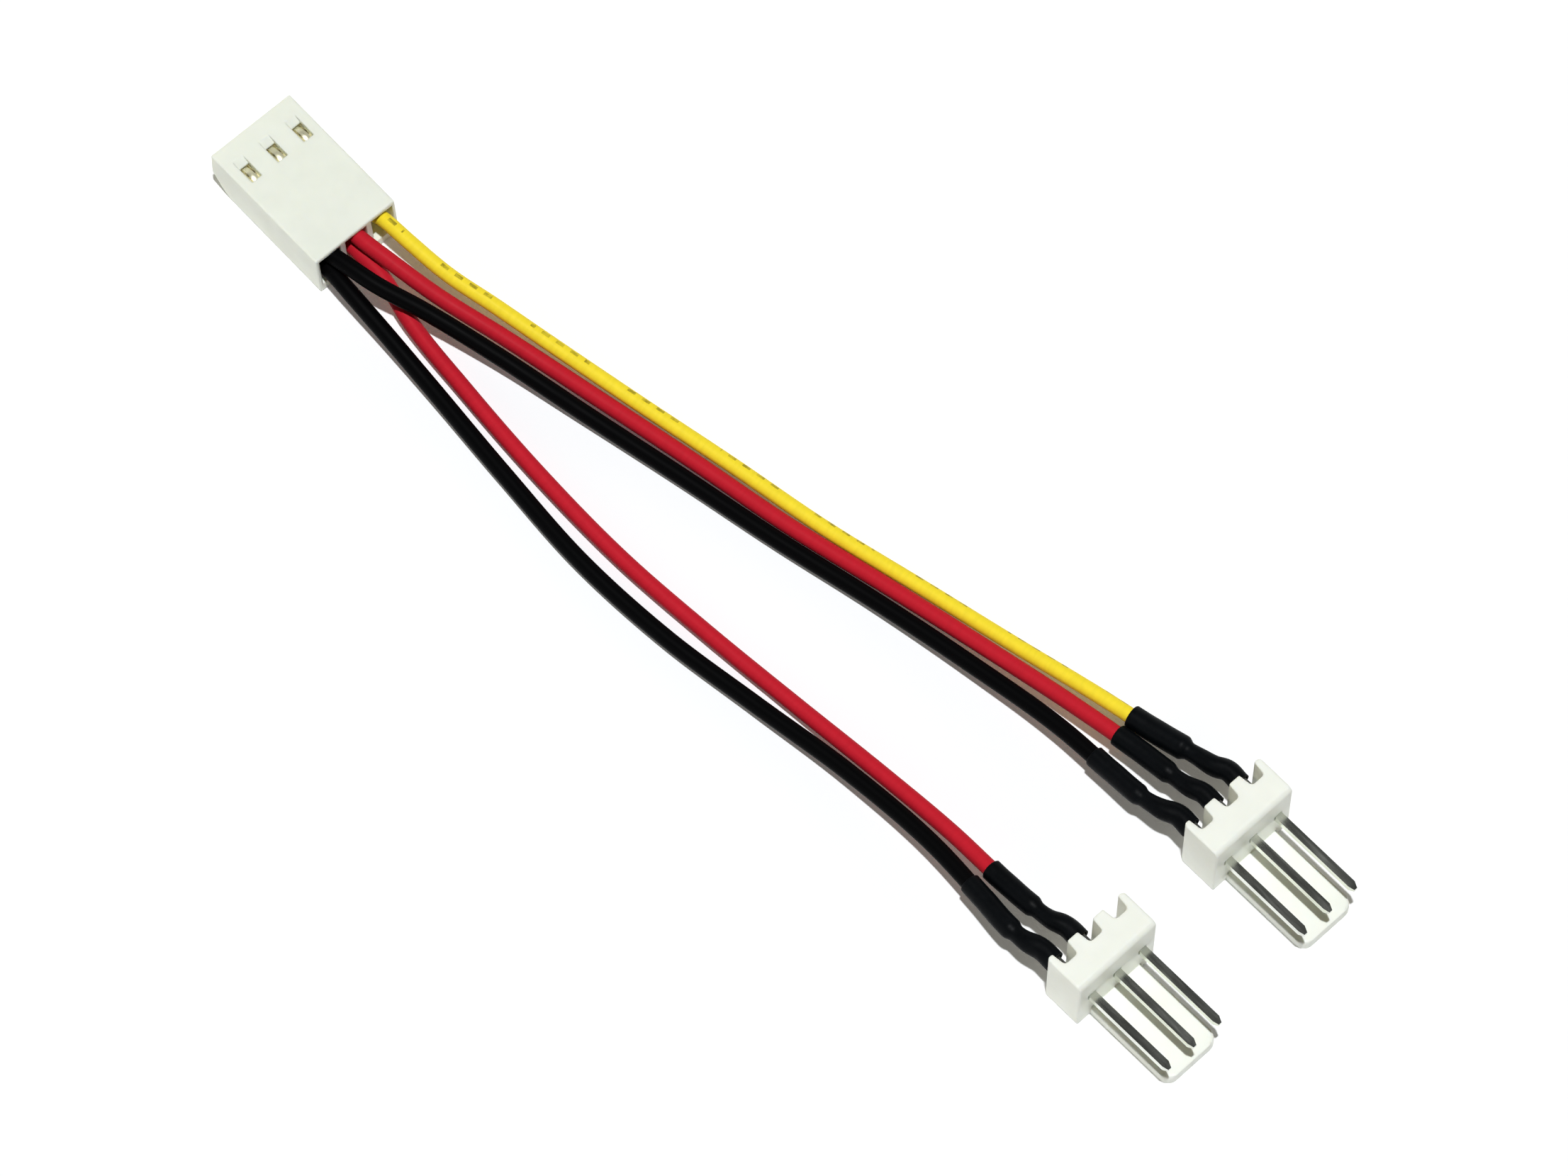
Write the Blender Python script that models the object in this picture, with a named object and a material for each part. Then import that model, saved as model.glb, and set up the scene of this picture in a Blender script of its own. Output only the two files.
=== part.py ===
"""Fan splitter cable: a three-way socket, five wires and two three-pin plugs.

The cable lies flat on a table. +X runs from the socket to the plugs, +Z is up.
Sizes are written in millimetres and turned into metres when a mesh is made.
"""
import math

import bmesh
import bpy
from mathutils import Matrix, Vector

MM = 0.001

# Shared connector sizes
PITCH = 2.54
CIRCUITS = (1, 2, 3)
FIT = 0.05

# Socket housing, measured from its mating face
SOCKET_PLACE = (-50.46, -8.32)
SOCKET_LENGTH = 11.9
SOCKET_WIDTH = 7.73
SOCKET_HEIGHT = 4.2
SOCKET_REAR_SLANT = 0.45
SOCKET_EDGE = 0.12
FRONT_WALL = 0.7
RAMP_LENGTH = 2.35
RAMP_HEIGHT = 1.7
RIB_WIDTH = 0.8
RIB_SETBACK = 0.3
RIB_NOSE = 0.5
CAVITY_WIDTH = 2.06
CAVITY_FLOOR = 1.5
CAVITY_HEIGHT = 2.25
FUNNEL_START = 8.0
FUNNEL_RUN = 0.6
FUNNEL_ROOM = 0.045
PIN_HOLE = 0.9
PIN_HOLE_LEAD = 0.2
PIN_HOLE_LEAD_DEPTH = 0.35
WINDOW_START = 2.2
WINDOW_LENGTH = 1.55
WINDOW_WIDTH = 0.95
WINDOW_SLOPE_RUN = 0.7
WINDOW_SLOPE_DEPTH = 0.3

# Crimp terminal, folded from one strip
SHEET = 0.16
TERMINAL_BOX_START = 1.0
TERMINAL_BOX_LENGTH = 4.6
TERMINAL_PLAY = 0.2
TERMINAL_SEAM = 0.12
TERMINAL_NECK_LENGTH = 0.5
TERMINAL_STEP = 0.35
WIRE_CRIMP_LENGTH = 1.6
WIRE_CRIMP_HALF_FLOOR = 0.3
INSULATION_CRIMP_LENGTH = 1.5
BEND = 0.16
LANCE_WIDTH = 0.7
LANCE_LENGTH = 1.35
LANCE_RISE = 0.36
TONGUE_WIDTH = 0.9
TONGUE_RISE = 0.55

# Wires
WIRE_DIAMETERS = {"yellow": 1.2, "red": 1.25, "black": 1.25}
CORE_DIAMETER = 0.5
PAIR_SIDE = 0.15
PAIR_RISE = 0.62
GRIP_DROP = 0.275
WIRE_STATION = 2.8
WIRE_RUNOUT = 0.3

# Plug block, measured from the face that the pins stand out of
PLUG_WIDTH = 7.7
PLUG_HEIGHT = 6.35
PLUG_LENGTH = 3.45
PLUG_EDGE = 0.12
BROW_RADIUS = 0.45
NOTCH_DEPTH = 1.2
NOTCH_MOUTH = 1.5
NOTCH_BASE = 1.3
NOTCH_ROUND = 0.3
TOOTH_ROUND = 0.2
WALL_LENGTH = 8.0
WALL_WIDTH = 5.1
WALL_THICKNESS = 1.0
WALL_CORNER = 0.85
WALL_EDGE = 0.22
PIN_SIZE = 0.64
PIN_HEIGHT = 3.43
PIN_LENGTH = 7.95
PIN_TIP_LENGTH = 0.45
PIN_TIP_SIZE = 0.28
PIN_TAIL = 1.7
PIN_TAIL_CUT = 0.15

# Heat-shrink sleeves and the solder inside them
SLEEVE_GAP = 0.25
SLEEVE_SIDE = -0.13
SLEEVE_DROP = 0.03
SLEEVE_SLACK = {"yellow": 0.12, "red": 0.0, "black": 0.0}
SLEEVE_WALL = 0.13
SLEEVE_NECK = 0.52
SLEEVE_BULGE = 0.68
SLEEVE_TAIL = 0.7
SHOULDER_RUN = 0.6
BULGE_BACK = 1.65
JOINT_LEAD = 0.1
JOINT_HOLE_DEPTH = 1.0
SLEEVE_SIDES = 12

# Where each plug stands: x, y and turn in degrees
PLUGS = {"a": (41.21, 8.22, 1.7), "b": (42.36, -6.23, 1.8)}

# Each wire: socket cavity, side of the pair, plug and pin
WIRES = {
    "yellow": (3, 0, "a", 3),
    "red_a": (2, 1, "a", 2),
    "red_b": (2, -1, "b", 2),
    "black_a": (1, 1, "a", 1),
    "black_b": (1, -1, "b", 1),
}

# Each wire's sleeve: its length, and the bare length between the insulation and the sleeve's end
SLEEVES = {
    "yellow": (9.8, 5.2),
    "red_a": (9.35, 4.5),
    "red_b": (8.75, 4.45),
    "black_a": (9.35, 4.8),
    "black_b": (9.05, 4.2),
}

# The free part of each wire, from just behind the socket to the middle of its sleeve
ROUTES = {
    "yellow": (
        (-38.4, -5.7, 3.0), (-36.0, -5.5, 2.9), (-32.0, -4.97, 2.45), (-28.0, -3.95, 2.0),
        (-23.9, -2.95, 1.5), (-15.6, -1.05, 0.95), (-7.1, 0.85, 0.72), (1.4, 2.55, 0.7),
        (9.7, 4.55, 0.95), (18.2, 6.45, 1.5), (25.2, 8.0, 2.15), (30.0, 8.95, 2.6),
        (33.5, 9.7, 3.1), (35.2, 10.08, 3.32)),
    "red_a": (
        (-38.4, -8.1, 3.15), (-35.6, -7.6, 2.9), (-31.7, -6.75, 2.3), (-25.7, -4.95, 1.4),
        (-17.4, -2.85, 0.8), (-8.9, -0.95, 0.7), (-0.5, 0.75, 0.7), (7.9, 2.75, 0.95),
        (16.4, 4.55, 1.5), (24.9, 6.2, 2.15), (30.5, 7.08, 2.6),
        (33.6, 7.38, 3.05), (35.1, 7.58, 3.28)),
    "red_b": (
        (-38.2, -8.5, 2.15), (-35.6, -8.5, 1.75), (-31.5, -9.2, 1.05), (-24.7, -9.75, 0.72),
        (-15.7, -10.25, 0.7), (-6.8, -10.25, 0.7), (1.9, -9.55, 0.72), (10.4, -8.65, 0.9),
        (19.1, -7.8, 1.5), (26.0, -7.3, 2.05), (31.5, -7.25, 2.65),
        (34.6, -7.12, 3.08), (36.2, -6.92, 3.3)),
    "black_a": (
        (-38.5, -10.5, 3.15), (-36.9, -10.2, 3.2), (-34.9, -9.75, 3.1), (-31.2, -8.35, 2.5), (-25.2, -6.45, 1.6),
        (-17.0, -4.45, 0.9), (-8.6, -2.55, 0.7), (-0.1, -0.75, 0.7), (8.3, 1.25, 0.9),
        (16.7, 2.95, 1.4), (25.3, 4.2, 2.15), (30.5, 4.45, 2.6),
        (33.5, 4.6, 3.03), (35.1, 4.93, 3.28)),
    "black_b": (
        (-38.1, -11.1, 2.15), (-35.6, -11.2, 1.85), (-32.0, -11.3, 1.45), (-26.5, -11.55, 0.95), (-17.5, -12.15, 0.7),
        (-8.5, -12.6, 0.7), (0.2, -12.05, 0.72), (8.7, -10.75, 0.9), (17.3, -9.5, 1.5),
        (26.0, -8.95, 2.15), (31.5, -9.25, 2.6),
        (34.6, -9.5, 3.03), (36.2, -9.4, 3.28)),
}


# Scene, materials and meshes

def clear_scene():
    for obj in list(bpy.data.objects):
        bpy.data.objects.remove(obj, do_unlink=True)


def make_material(name, colour, roughness, metallic=0.0):
    material = bpy.data.materials.new(name)
    material.use_nodes = True
    shader = material.node_tree.nodes["Principled BSDF"]
    shader.inputs["Base Color"].default_value = (*colour, 1.0)
    shader.inputs["Roughness"].default_value = roughness
    shader.inputs["Metallic"].default_value = metallic
    material.diffuse_color = (*colour, 1.0)
    return material


def make_object(name, mesh_data, material, place=None):
    """Turn a bmesh drawn in millimetres into a named object in metres."""
    bmesh.ops.recalc_face_normals(mesh_data, faces=mesh_data.faces)
    bmesh.ops.scale(mesh_data, vec=Vector((MM, MM, MM)), verts=mesh_data.verts)
    mesh = bpy.data.meshes.new(name)
    mesh_data.to_mesh(mesh)
    mesh_data.free()
    mesh.shade_smooth()
    mesh.set_sharp_from_angle(angle=math.radians(35))
    obj = bpy.data.objects.new(name, mesh)
    bpy.context.scene.collection.objects.link(obj)
    if material is not None:
        mesh.materials.append(material)
    if place is not None:
        obj.matrix_world = place
    return obj


def placed(x, y, turn=0.0):
    return Matrix.Translation(Vector((x, y, 0.0)) * MM) @ Matrix.Rotation(math.radians(turn), 4, "Z")


def socket_place():
    return placed(*SOCKET_PLACE)


def add_prism(mesh_data, outline, low, high, plane):
    """Extrude a closed outline: plane "XZ" runs it along Y, "XY" along Z."""
    def point(pair, level):
        if plane == "XZ":
            return Vector((pair[0], level, pair[1]))
        return Vector((pair[0], pair[1], level))

    first = [mesh_data.verts.new(point(pair, low)) for pair in outline]
    last = [mesh_data.verts.new(point(pair, high)) for pair in outline]
    mesh_data.faces.new(first)
    mesh_data.faces.new(last)
    for i in range(len(outline)):
        j = (i + 1) % len(outline)
        mesh_data.faces.new((first[i], first[j], last[j], last[i]))


def add_loft(mesh_data, rings):
    """Join closed rings of equal count into one solid with flat ends."""
    loops = [[mesh_data.verts.new(point) for point in ring] for ring in rings]
    for one, two in zip(loops, loops[1:]):
        for i in range(len(one)):
            j = (i + 1) % len(one)
            mesh_data.faces.new((one[i], one[j], two[j], two[i]))
    mesh_data.faces.new(loops[0])
    mesh_data.faces.new(loops[-1])


def square_ring(x, y, z, half):
    corners = ((-1, -1), (1, -1), (1, 1), (-1, 1))
    return [Vector((x, y + side * half, z + rise * half)) for side, rise in corners]


def arc(centre, radius, start, end, steps):
    """Points on an arc, angles in degrees."""
    angles = [math.radians(start + (end - start) * i / steps) for i in range(steps + 1)]
    return [(centre[0] + radius * math.cos(a), centre[1] + radius * math.sin(a)) for a in angles]


def bevel(obj, width, segments=2):
    modifier = obj.modifiers.new("Bevel", "BEVEL")
    modifier.width = width * MM
    modifier.segments = segments
    modifier.limit_method = "ANGLE"
    modifier.angle_limit = math.radians(40)
    return modifier


def combine(obj, mesh_data, operation, label):
    """Cut a guide solid from the object, or join it on."""
    guide = make_object(f"{obj.name}_{label}", mesh_data, None, obj.matrix_world.copy())
    guide.hide_render = True
    guide.display_type = "WIRE"
    modifier = obj.modifiers.new(label, "BOOLEAN")
    modifier.operation = operation
    modifier.object = guide
    modifier.solver = "EXACT"


def circuit_side(circuit):
    """Distance of a circuit from the connector's middle line."""
    return (circuit - 2) * PITCH


# Socket housing

def housing_outline():
    """The housing from the side: a 45 degree ramp with a rounded heel, and a slanted rear."""
    heel = (RAMP_LENGTH - RAMP_HEIGHT) / math.tan(math.radians(22.5))
    return [(0.0, RAMP_HEIGHT)] + arc((RAMP_LENGTH, heel), heel, 225, 270, 4) + [
        (SOCKET_LENGTH + SOCKET_REAR_SLANT, 0.0), (SOCKET_LENGTH, SOCKET_HEIGHT), (0.0, SOCKET_HEIGHT)]


def rib_outline():
    """A polarising rib fills the ramp down to the table, with a sloped nose."""
    return (
        (RIB_SETBACK, RAMP_HEIGHT + FIT), (RIB_SETBACK, RAMP_HEIGHT / 2),
        (RIB_SETBACK + RIB_NOSE, 0.0), (RAMP_LENGTH + RIB_NOSE, 0.0),
        (RAMP_LENGTH + RIB_NOSE, RAMP_HEIGHT + FIT))


def cavity_outline():
    """A cavity from the side: it widens behind to clear the tallest insulation barrel."""
    ceiling = CAVITY_FLOOR + CAVITY_HEIGHT
    funnel = FUNNEL_START + FUNNEL_RUN
    rear = SOCKET_LENGTH + 2 * SOCKET_REAR_SLANT
    reach = PAIR_RISE + max(WIRE_DIAMETERS.values()) / 2 + FIT + SHEET + FUNNEL_ROOM
    low = wire_level(0) - reach
    high = wire_level(0) + reach
    return (
        (FRONT_WALL, CAVITY_FLOOR), (FUNNEL_START, CAVITY_FLOOR), (funnel, low), (rear, low),
        (rear, high), (funnel, high), (FUNNEL_START, ceiling), (FRONT_WALL, ceiling))


def window_outline():
    """A window over each contact, with a short slope at its front."""
    low = contact_axis_height()
    high = SOCKET_HEIGHT + WINDOW_SLOPE_DEPTH
    end = WINDOW_START + WINDOW_LENGTH
    return (
        (WINDOW_START, low), (end, low), (end, high),
        (WINDOW_START - 2 * WINDOW_SLOPE_RUN, high), (WINDOW_START, SOCKET_HEIGHT - WINDOW_SLOPE_DEPTH))


def contact_axis_height():
    return CAVITY_FLOOR + CAVITY_HEIGHT / 2


def make_housing(material):
    data = bmesh.new()
    add_prism(data, housing_outline(), -SOCKET_WIDTH / 2, SOCKET_WIDTH / 2, "XZ")
    housing = make_object("socket_housing", data, material, socket_place())
    bevel(housing, SOCKET_EDGE)

    ribs = bmesh.new()
    for side in (-PITCH / 2, PITCH / 2):
        add_prism(ribs, rib_outline(), side - RIB_WIDTH / 2, side + RIB_WIDTH / 2, "XZ")
    combine(housing, ribs, "UNION", "ribs")

    cavities = bmesh.new()
    windows = bmesh.new()
    holes = bmesh.new()
    lead = PIN_HOLE / 2 + PIN_HOLE_LEAD
    for circuit in CIRCUITS:
        side = circuit_side(circuit)
        add_prism(cavities, cavity_outline(), side - CAVITY_WIDTH / 2, side + CAVITY_WIDTH / 2, "XZ")
        add_prism(windows, window_outline(), side - WINDOW_WIDTH / 2, side + WINDOW_WIDTH / 2, "XZ")
        height = contact_axis_height()
        add_loft(holes, [
            square_ring(-PIN_HOLE_LEAD_DEPTH, side, height, lead + PIN_HOLE_LEAD),
            square_ring(PIN_HOLE_LEAD_DEPTH, side, height, PIN_HOLE / 2),
            square_ring(FRONT_WALL + PIN_HOLE_LEAD, side, height, PIN_HOLE / 2)])
    combine(housing, cavities, "DIFFERENCE", "cavities")
    combine(housing, windows, "DIFFERENCE", "windows")
    combine(housing, holes, "DIFFERENCE", "pin_holes")


# Crimp terminals, folded from sheet

def folded_ring(x, side, floor, half_floor, folds):
    """One section of the strip. Each fold is a length and the angle turned before it."""
    spine = [Vector((half_floor, floor))]
    heading = 0.0
    for length, turn in folds:
        heading += math.radians(turn)
        spine.append(spine[-1] + Vector((math.cos(heading), math.sin(heading))) * length)
    spine = [Vector((-p.x, p.y)) for p in reversed(spine)] + spine
    outer = offset_path(spine, -SHEET / 2)
    inner = offset_path(spine, SHEET / 2)
    return [Vector((x, side + p.x, p.y)) for p in outer + inner[::-1]]


def offset_path(path, distance):
    """Shift an open path sideways, with mitred corners."""
    shifted = []
    for i, point in enumerate(path):
        before = (point - path[i - 1]).normalized() if i > 0 else None
        after = (path[i + 1] - point).normalized() if i < len(path) - 1 else None
        first = before or after
        second = after or before
        normal = (Vector((-first.y, first.x)) + Vector((-second.y, second.x))).normalized()
        reach = distance / normal.dot(Vector((-first.y, first.x)))
        shifted.append(point + normal * reach)
    return shifted


def box_height():
    return CAVITY_HEIGHT - TERMINAL_PLAY


def box_folds():
    """The contact box: walls up, wings folded in to a seam on top."""
    corner = BEND * math.sqrt(0.5)
    width = CAVITY_WIDTH - TERMINAL_PLAY - SHEET
    height = box_height() - SHEET
    half_floor = width / 2 - corner
    wing = half_floor - TERMINAL_SEAM / 2
    return half_floor, ((BEND, 45), (height - 2 * corner, 45), (BEND, 45), (wing, 45))


def neck_folds():
    return WIRE_CRIMP_HALF_FLOOR, ((BEND, 45), (BEND, 45), (BEND / 2, 0), (BEND / 2, 0))


def wire_crimp_folds():
    """A barrel curled tight round the bare strands."""
    clear = CORE_DIAMETER / 2 + FIT + SHEET / 2
    step = 2 * clear * math.tan(math.radians(22.5))
    half_floor = step / 2
    return half_floor, ((step, 45), (step, 45), (step, 45), (half_floor - TERMINAL_SEAM / 2, 45))


def wire_radius(wire):
    return WIRE_DIAMETERS[wire.partition("_")[0]] / 2


def gripped_wires(circuit):
    """The wires that end in one of the socket's cavities, the lowest last."""
    return [wire for wire in WIRES if WIRES[wire][0] == circuit]


def insulation_crimp_folds(circuit):
    """A barrel round one wire, or round two that lie one over the other."""
    pair = len(gripped_wires(circuit)) > 1
    clear = wire_radius(gripped_wires(circuit)[-1]) + FIT + SHEET / 2
    step = 2 * clear * math.tan(math.radians(22.5))
    shift = PAIR_SIDE if pair else 0.0
    rise = 2 * PAIR_RISE if pair else 0.0
    half_floor = step / 2 + shift
    return half_floor, ((step, 45), (step + rise, 45), (step, 45), (half_floor - TERMINAL_SEAM / 2, 45))


def crimp_floor(circuit):
    """Spine height of the insulation barrel's floor."""
    lowest = gripped_wires(circuit)[-1]
    return wire_level(WIRES[lowest][1]) - wire_radius(lowest) - FIT - SHEET / 2


def wire_level(half):
    """Height of a wire's middle where its terminal grips it."""
    return contact_axis_height() - GRIP_DROP + half * PAIR_RISE


def core_level():
    return terminal_floor() + SHEET / 2 + FIT + CORE_DIAMETER / 2


def terminal_floor():
    """Spine height of the box floor, which lies just over the cavity floor."""
    return CAVITY_FLOOR + FIT + SHEET / 2


def terminal_stations():
    box_end = TERMINAL_BOX_START + TERMINAL_BOX_LENGTH
    crimp_start = box_end + TERMINAL_NECK_LENGTH + TERMINAL_STEP
    crimp_end = crimp_start + WIRE_CRIMP_LENGTH
    grip_start = crimp_end + TERMINAL_STEP + TERMINAL_STEP
    grip_end = grip_start + INSULATION_CRIMP_LENGTH
    return box_end, crimp_start, crimp_end, grip_start, grip_end


def make_terminal(circuit, material):
    side = circuit_side(circuit)
    floor = terminal_floor()
    box_end, crimp_start, crimp_end, grip_start, grip_end = terminal_stations()
    rings = []

    def add(x, level, shape):
        rings.append(folded_ring(x, side, level, *shape))

    add(TERMINAL_BOX_START, floor, box_folds())
    add(box_end, floor, box_folds())
    add(box_end + TERMINAL_STEP, floor, neck_folds())
    add(crimp_start, floor, wire_crimp_folds())
    add(crimp_end, floor, wire_crimp_folds())
    add(crimp_end + TERMINAL_STEP, floor, neck_folds())
    add(grip_start, crimp_floor(circuit), insulation_crimp_folds(circuit))
    add(grip_end, crimp_floor(circuit), insulation_crimp_folds(circuit))
    data = bmesh.new()
    add_loft(data, rings)
    terminal = make_object(f"socket_terminal_{circuit}", data, material, socket_place())

    lance = bmesh.new()
    add_prism(lance, lance_outline(), side - LANCE_WIDTH / 2, side + LANCE_WIDTH / 2, "XZ")
    combine(terminal, lance, "UNION", "lance")
    tongue = bmesh.new()
    add_prism(tongue, tongue_outline(), side - TONGUE_WIDTH / 2, side + TONGUE_WIDTH / 2, "XZ")
    combine(terminal, tongue, "UNION", "tongue")


def lance_outline():
    """The locking lance springs up into the window and curls over at its end."""
    low = CAVITY_FLOOR + FIT + box_height() - SHEET / 2
    start = WINDOW_START + FIT
    steps = 6
    under = []
    for i in range(steps + 1):
        rise = LANCE_RISE * math.sin(math.radians(130 * i / steps))
        under.append((start + LANCE_LENGTH * i / steps, low + rise))
    return under + [(x, z + SHEET) for x, z in reversed(under)]


def tongue_outline():
    """The spring tongue rises from the box floor to the pin and comes back down."""
    base = CAVITY_FLOOR + FIT + SHEET / 2
    end = TERMINAL_BOX_START + TERMINAL_BOX_LENGTH
    crest = TERMINAL_BOX_START + TERMINAL_BOX_LENGTH / 3
    tip = TERMINAL_BOX_START + SHEET
    high = base + TONGUE_RISE
    return (
        (end, base), (end, base + SHEET), (end - SHEET, base + SHEET), (crest, high + SHEET),
        (tip, base + 2 * SHEET), (tip, base + SHEET), (crest, high), (end - 2 * SHEET, base))


def make_core(circuit, material):
    """The bare strands, pressed round in the wire barrel."""
    box_end, crimp_start, crimp_end, grip_start, grip_end = terminal_stations()
    side = circuit_side(circuit)
    level = core_level()
    start = crimp_start - TERMINAL_STEP / 2
    end = crimp_end + TERMINAL_STEP / 2
    rings = []
    for x, scale in ((start, 0.8), (start + FIT * 2, 1.0), (end - FIT * 2, 1.0), (end, 0.8)):
        circle = arc((side, level), scale * CORE_DIAMETER / 2, 0, 330, 11)
        rings.append([Vector((x, y, z)) for y, z in circle])
    data = bmesh.new()
    add_loft(data, rings)
    make_object(f"crimped_core_{circuit}", data, material, socket_place())


# Wire routes

def plug_point(plug, back, circuit, height=PIN_HEIGHT):
    """A point on a pin's axis, at a distance behind the face that the pins stand out of."""
    x, y, turn = PLUGS[plug]
    spot = Matrix.Rotation(math.radians(turn), 3, "Z") @ Vector((-back, circuit_side(circuit), height))
    return Vector((x, y, 0.0)) + spot


def sleeve_back():
    return PLUG_LENGTH + SLEEVE_GAP


def tail_back():
    return PLUG_LENGTH + PIN_TAIL


def route_points(name):
    """All the points of a wire's line, from its crimp to the end of its sleeve."""
    cavity, half, plug, pin = WIRES[name]
    grip_start, grip_end = terminal_stations()[3:]
    side = SOCKET_PLACE[1] + circuit_side(cavity) + half * PAIR_SIDE
    level = wire_level(half)
    straight = (grip_start + FIT, grip_end, grip_end + WIRE_RUNOUT)
    start = [Vector((SOCKET_PLACE[0] + x, side, level)) for x in straight]
    free = [Vector(point) for point in ROUTES[name]]
    turn = Matrix.Rotation(math.radians(PLUGS[plug][2]), 3, "Z")
    lap = turn @ Vector((0.0, SLEEVE_SIDE, -SLEEVE_DROP))
    end = [plug_point(plug, back, pin) + lap for back in (tail_back(), sleeve_back())]
    return start + free + end


def smooth_line(points, steps=24):
    """A smooth curve through the points, finely sampled."""
    padded = [2 * points[0] - points[1]] + points + [2 * points[-1] - points[-2]]
    line = []
    for p0, p1, p2, p3 in zip(padded, padded[1:], padded[2:], padded[3:]):
        span = (p2 - p1).length
        leave = tangent(p0, p1, p2) * span
        arrive = tangent(p1, p2, p3) * span
        for i in range(steps):
            t = i / steps
            line.append(
                p1 * (2 * t**3 - 3 * t**2 + 1) + leave * (t**3 - 2 * t**2 + t)
                + p2 * (3 * t**2 - 2 * t**3) + arrive * (t**3 - t**2))
    line.append(points[-1])
    return line


def tangent(before, here, after):
    """Direction at a point, weighted to its nearer neighbour."""
    first = here - before
    second = after - here
    blend = first / first.length**2 + second / second.length**2
    return blend / (1 / first.length + 1 / second.length)


def line_length(line):
    return sum((b - a).length for a, b in zip(line, line[1:]))


def point_along(line, distance):
    """The point and direction at a distance along a sampled line."""
    walked = 0.0
    for a, b in zip(line, line[1:]):
        step = (b - a).length
        if walked + step >= distance:
            return a.lerp(b, (distance - walked) / step), (b - a).normalized()
        walked += step
    return line[-1].copy(), (line[-1] - line[-2]).normalized()


def wire_stations(name, line):
    """The straight start, even steps along the free wire, then the sleeve's own steps inside it."""
    length, bare = SLEEVES[name]
    first = INSULATION_CRIMP_LENGTH + WIRE_RUNOUT - FIT
    free = line_length(line) - length - first
    count = round(free / WIRE_STATION)
    inside = length - bare - FIT
    along = [first + free * i / count for i in range(count)]
    return [0.0] + along + [first + free + inside * i / 3 for i in range(4)]


def make_wire(wire, name, material):
    """The insulated wire, up to where it is stripped inside its sleeve."""
    line = smooth_line(route_points(wire))
    stations = wire_stations(wire, line)
    curve = bpy.data.curves.new(name, "CURVE")
    curve.dimensions = "3D"
    curve.bevel_depth = wire_radius(wire) * MM
    curve.bevel_resolution = 2
    curve.use_fill_caps = True
    spline = curve.splines.new("POLY")
    spline.points.add(len(stations) - 1)
    for point, station in zip(spline.points, stations):
        spot, _ = point_along(line, station)
        point.co = (*(spot * MM), 1.0)
    curve.materials.append(material)
    obj = bpy.data.objects.new(name, curve)
    bpy.context.scene.collection.objects.link(obj)


def tube_ring(line, distance, radius, sides):
    """A ring of points across a line."""
    spot, along = point_along(line, distance)
    across = along.cross(Vector((0, 0, 1))).normalized()
    up = across.cross(along)
    angles = [2 * math.pi * i / sides for i in range(sides)]
    return [spot + (across * math.cos(a) + up * math.sin(a)) * radius for a in angles]


def sleeve_stations(wire):
    """Distance from the mouth and inner radius along a shrunk sleeve."""
    length, bare = SLEEVES[wire]
    slack = SLEEVE_SLACK[wire.partition("_")[0]]
    wide = (wire_radius(wire) + FIT) / math.cos(math.pi / SLEEVE_SIDES) + slack
    shoulder = length - bare
    neck = shoulder + SHOULDER_RUN
    bulge = length - BULGE_BACK
    return (
        (0.0, wide), (shoulder / 3, wide), (shoulder * 2 / 3, wide), (shoulder, wide),
        (shoulder + SHOULDER_RUN / 3, (2 * wide + SLEEVE_NECK) / 3),
        (neck - SHOULDER_RUN / 4, (wide + 5 * SLEEVE_NECK) / 6), (neck, SLEEVE_NECK),
        ((neck + bulge) / 2, (SLEEVE_NECK + SLEEVE_BULGE) / 2), (bulge, SLEEVE_BULGE),
        (length - BULGE_BACK / 2, (SLEEVE_BULGE + SLEEVE_TAIL) / 2), (length, SLEEVE_TAIL))


def make_sleeve(wire, name, material):
    """A heat-shrink sleeve: an open tube that follows what is inside it."""
    line = smooth_line(route_points(wire))
    start = line_length(line) - SLEEVES[wire][0]
    stations = sleeve_stations(wire)
    outer = [tube_ring(line, start + s, r + SLEEVE_WALL, SLEEVE_SIDES) for s, r in stations]
    inner = [tube_ring(line, start + s, r, SLEEVE_SIDES) for s, r in stations]
    data = bmesh.new()
    rings = [[data.verts.new(p) for p in ring] for ring in outer + inner[::-1]]
    for one, two in zip(rings, rings[1:] + rings[:1]):
        for i in range(SLEEVE_SIDES):
            j = (i + 1) % SLEEVE_SIDES
            data.faces.new((one[i], one[j], two[j], two[i]))
    make_object(name, data, material)


def make_joint(wire, name, material):
    """Tinned strands that swell into the solder round a pin's tail."""
    line = smooth_line(route_points(wire))
    total = line_length(line)
    bare = SLEEVES[wire][1]
    tail_end = tail_back() - sleeve_back()
    strand = CORE_DIAMETER / 2
    blob = SLEEVE_BULGE - FIT
    start = total - bare + FIT
    swell = total - tail_end - JOINT_LEAD
    stations = (
        (start, strand), ((start + swell) / 2, strand), (swell - 0.4 * (swell - start) / 2, strand * 1.4),
        (swell, blob), (swell + JOINT_HOLE_DEPTH / 2, blob), (swell + JOINT_HOLE_DEPTH, blob))
    data = bmesh.new()
    add_loft(data, [tube_ring(line, s, r, SLEEVE_SIDES) for s, r in stations])
    joint = make_object(name, data, material)
    plug, pin = WIRES[wire][2:4]
    hole = bmesh.new()
    half = PIN_SIZE / 2 + FIT / 2
    add_loft(hole, [
        square_ring(-tail_back() - FIT, circuit_side(pin), PIN_HEIGHT, half),
        square_ring(-tail_back() + 2 * JOINT_HOLE_DEPTH, circuit_side(pin), PIN_HEIGHT, half)])
    guide = make_object(f"{name}_hole", hole, None, placed(*PLUGS[plug]))
    guide.hide_render = True
    guide.display_type = "WIRE"
    modifier = joint.modifiers.new("hole", "BOOLEAN")
    modifier.operation = "DIFFERENCE"
    modifier.object = guide
    modifier.solver = "EXACT"


# Plugs

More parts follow.
